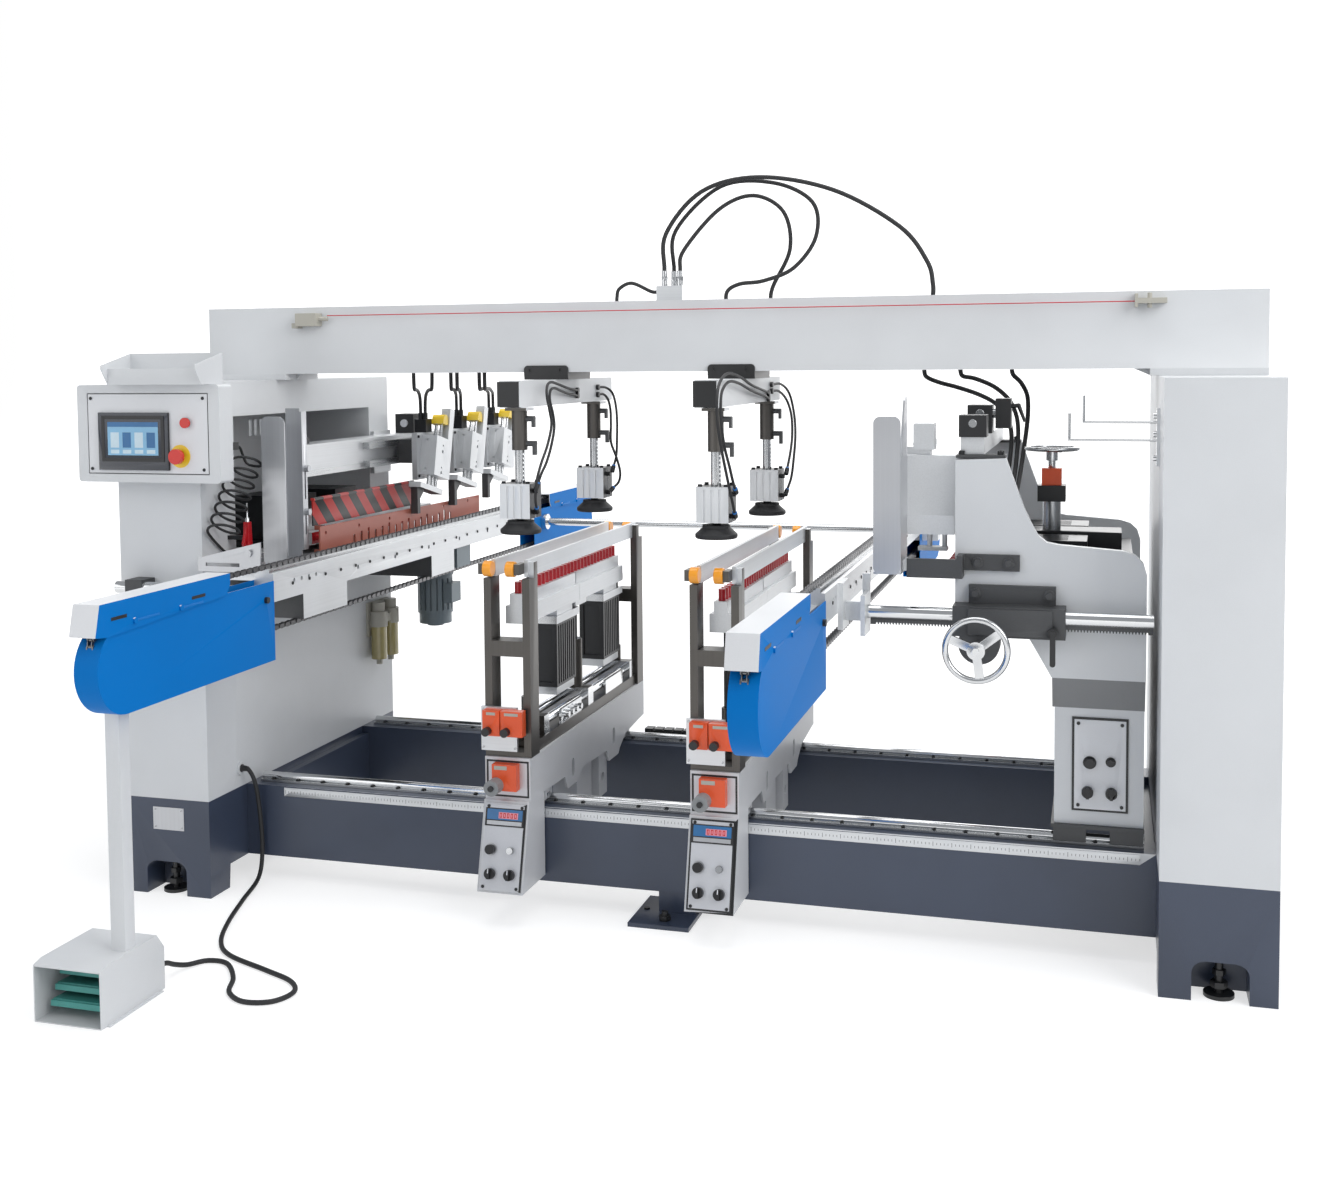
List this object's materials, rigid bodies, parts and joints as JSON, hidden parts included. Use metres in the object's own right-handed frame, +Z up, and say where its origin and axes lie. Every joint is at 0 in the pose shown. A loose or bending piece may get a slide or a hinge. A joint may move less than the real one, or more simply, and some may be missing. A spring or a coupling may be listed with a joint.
{
  "type": "line boring machine",
  "caption": "Gantry machine that drills rows of shelf and dowel holes in panels: vertical heads from below, side units left and right, press arms above.",
  "frame": {"origin": "on the floor under the middle of the machine's box", "axes": "+X to the right along the gantry, +Y from the operator's side to the back along the conveyors, +Z up"},
  "size_m": [3.293, 3.569, 2.1118],
  "materials": {
    "navy_paint": "satin enamel",
    "light_grey_paint": "fine textured powder coat",
    "ground_steel": "ground",
    "dark_steel": "burnished dark finish",
    "sheet_aluminium": "brushed sheet",
    "red_plastic": "gloss",
    "warm_grey_plastic": "matt",
    "black_rubber": "matt",
    "chrome": "polished",
    "anodised": "clear anodised extrusion",
    "blue_paint": "satin powder coat",
    "chain_steel": "oiled",
    "motor_paint": "satin enamel",
    "rust_paint": "satin enamel",
    "black_paint": "satin black",
    "black_plastic": "matt",
    "teal_paint": "satin enamel",
    "orange_plastic": "gloss"
  },
  "bodies": {
    "frame": {"base_frame": "navy_paint", "left_pillar": "light_grey_paint", "right_pillar": "light_grey_paint", "gantry_beam": "light_grey_paint", "guide_rails": "ground_steel", "levelling_feet": "dark_steel", "control_cabinet": "light_grey_paint", "control_plate": "sheet_aluminium", "tool_shelf": "light_grey_paint", "cord_switch": "warm_grey_plastic", "hose_block": "warm_grey_plastic", "gantry_hoses": "black_rubber", "guide_bars": "chrome", "left_conveyor": "anodised", "left_covers": "blue_paint", "left_chain": "chain_steel", "drive_motor": "motor_paint", "left_fence": "sheet_aluminium", "left_guard": "rust_paint", "clamp_rail": "anodised", "air_filter": "warm_grey_plastic", "air_hose": "black_plastic", "air_gun": "red_plastic", "pedal_box": "light_grey_paint", "pedal_cord": "black_rubber"},
    "start_button": {"start_button": "red_plastic"},
    "stop_button": {"stop_button": "red_plastic"},
    "pedal_top": {"pedal_top": "teal_paint"},
    "pedal_middle": {"pedal_middle": "teal_paint"},
    "pedal_low": {"pedal_low": "teal_paint"},
    "left_sprocket": {"left_sprocket": "ground_steel"},
    "clamp_fingers": {"clamp_fingers": "dark_steel"},
    "left_drill": {"left_drill": "black_paint"},
    "right_head": {"right_head": "light_grey_paint", "right_panel": "sheet_aluminium", "rack_clamp": "dark_steel", "right_fence": "sheet_aluminium"},
    "right_drill": {"right_drill": "anodised"},
    "feed_wheel": {"feed_wheel": "chrome"},
    "handwheel": {"handwheel": "chrome"},
    "clamp_lever": {"clamp_lever": "black_plastic"},
    "right_conveyor": {"right_conveyor": "anodised", "rack_bar": "chrome", "right_covers": "blue_paint", "right_chain": "chain_steel"},
    "right_sprocket": {"right_sprocket": "ground_steel"},
    "head_a": {"carriage_a": "light_grey_paint", "frame_a": "dark_steel"},
    "drill_a": {"drill_a": "anodised"},
    "front_rollers_a": {"front_rollers_a": "orange_plastic"},
    "rear_rollers_a": {"rear_rollers_a": "orange_plastic"},
    "arm_a": {"arm_a": "anodised"},
    "feet_a": {"feet_a": "black_rubber"},
    "head_b": {"carriage_b": "light_grey_paint", "frame_b": "dark_steel"},
    "drill_b": {"drill_b": "anodised"},
    "front_rollers_b": {"front_rollers_b": "orange_plastic"},
    "rear_rollers_b": {"rear_rollers_b": "orange_plastic"},
    "arm_b": {"arm_b": "anodised"},
    "feet_b": {"feet_b": "black_rubber"}
  },
  "joints": [
    {"name": "start_press", "type": "slide", "parent": "frame", "child": "start_button", "axis": [0, 1, 0], "range_m": [0, 0.003], "stiffness_N_per_m": 600, "springref_m": -0.003},
    {"name": "stop_press", "type": "slide", "parent": "frame", "child": "stop_button", "axis": [0, 1, 0], "range_m": [0, 0.004]},
    {"name": "pedal_low_tread", "type": "hinge", "parent": "frame", "child": "pedal_low", "pos_m": [-1.1315, -1.5445, 0.03], "axis": [1, 0, 0], "range_deg": [0, 4], "stiffness_Nm_per_rad": 12, "springref_deg": -14.32},
    {"name": "pedal_middle_tread", "type": "hinge", "parent": "frame", "child": "pedal_middle", "pos_m": [-1.1315, -1.5445, 0.064], "axis": [1, 0, 0], "range_deg": [0, 4], "stiffness_Nm_per_rad": 12, "springref_deg": -14.32},
    {"name": "pedal_top_tread", "type": "hinge", "parent": "frame", "child": "pedal_top", "pos_m": [-1.1315, -1.5445, 0.098], "axis": [1, 0, 0], "range_deg": [0, 4], "stiffness_Nm_per_rad": 12, "springref_deg": -14.32},
    {"name": "left_sprocket_spin", "type": "hinge", "parent": "frame", "child": "left_sprocket", "pos_m": [-1.036, -1.6635, 0.913], "axis": [1, 0, 0], "continuous": true},
    {"name": "fingers_down", "type": "slide", "parent": "frame", "child": "clamp_fingers", "axis": [0, 0.2334, 0.9724], "range_m": [-0.025, 0], "stiffness_N_per_m": 500, "springref_m": 0.3},
    {"name": "left_drill_feed", "type": "slide", "parent": "frame", "child": "left_drill", "axis": [1, 0, 0], "range_m": [0, 0.022]},
    {"name": "right_head_slide", "type": "slide", "parent": "frame", "child": "right_head", "axis": [1, 0, 0], "range_m": [-0.15, 0.01]},
    {"name": "right_drill_feed", "type": "slide", "parent": "right_head", "child": "right_drill", "axis": [1, 0, 0], "range_m": [-0.04, 0]},
    {"name": "feed_wheel_turn", "type": "hinge", "parent": "right_drill", "child": "feed_wheel", "pos_m": [1.0905, -0.3445, 1.318], "axis": [0, 0, 1], "continuous": true},
    {"name": "right_conveyor_slide", "type": "slide", "parent": "right_head", "child": "right_conveyor", "axis": [1, 0, 0], "range_m": [-0.19, 0]},
    {"name": "handwheel_turn", "type": "hinge", "parent": "right_head", "child": "handwheel", "pos_m": [0.9235, -0.8645, 0.833], "axis": [0, 1, 0], "range_deg": [-266, 2]},
    {"name": "clamp_lever_turn", "type": "hinge", "parent": "right_head", "child": "clamp_lever", "pos_m": [1.1095, -0.7995, 0.874], "axis": [0, 1, 0], "range_deg": [-80, 60]},
    {"name": "right_sprocket_spin", "type": "hinge", "parent": "right_conveyor", "child": "right_sprocket", "pos_m": [0.529, -1.6635, 0.913], "axis": [1, 0, 0], "continuous": true},
    {"name": "head_a_slide", "type": "slide", "parent": "frame", "child": "head_a", "axis": [1, 0, 0], "range_m": [-0.25, 0.2]},
    {"name": "drill_a_lift", "type": "slide", "parent": "head_a", "child": "drill_a", "axis": [0, 0, 1], "range_m": [0, 0.062]},
    {"name": "front_rollers_a_spin", "type": "hinge", "parent": "head_a", "child": "front_rollers_a", "pos_m": [-0.3785, -0.8025, 0.993], "axis": [1, 0, 0], "continuous": true},
    {"name": "rear_rollers_a_spin", "type": "hinge", "parent": "head_a", "child": "rear_rollers_a", "pos_m": [-0.3785, 0.2745, 0.993], "axis": [1, 0, 0], "continuous": true},
    {"name": "head_b_slide", "type": "slide", "parent": "frame", "child": "head_b", "axis": [1, 0, 0], "range_m": [-0.2, 0.15]},
    {"name": "drill_b_lift", "type": "slide", "parent": "head_b", "child": "drill_b", "axis": [0, 0, 1], "range_m": [0, 0.062]},
    {"name": "front_rollers_b_spin", "type": "hinge", "parent": "head_b", "child": "front_rollers_b", "pos_m": [0.2235, -0.8025, 0.993], "axis": [1, 0, 0], "continuous": true},
    {"name": "rear_rollers_b_spin", "type": "hinge", "parent": "head_b", "child": "rear_rollers_b", "pos_m": [0.2235, 0.2745, 0.993], "axis": [1, 0, 0], "continuous": true},
    {"name": "arm_a_slide", "type": "slide", "parent": "frame", "child": "arm_a", "axis": [1, 0, 0], "range_m": [-0.15, 0.2]},
    {"name": "feet_a_down", "type": "slide", "parent": "arm_a", "child": "feet_a", "axis": [0, 0, 1], "range_m": [-0.06, 0], "stiffness_N_per_m": 120, "springref_m": 0.25},
    {"name": "arm_b_slide", "type": "slide", "parent": "frame", "child": "arm_b", "axis": [1, 0, 0], "range_m": [-0.2, 0.15]},
    {"name": "feet_b_down", "type": "slide", "parent": "arm_b", "child": "feet_b", "axis": [0, 0, 1], "range_m": [-0.06, 0], "stiffness_N_per_m": 120, "springref_m": 0.25}
  ],
  "couplings": [
    {"joint": "handwheel_turn", "follows": "right_conveyor_slide", "rad_per_m": 24.242}
  ]
}
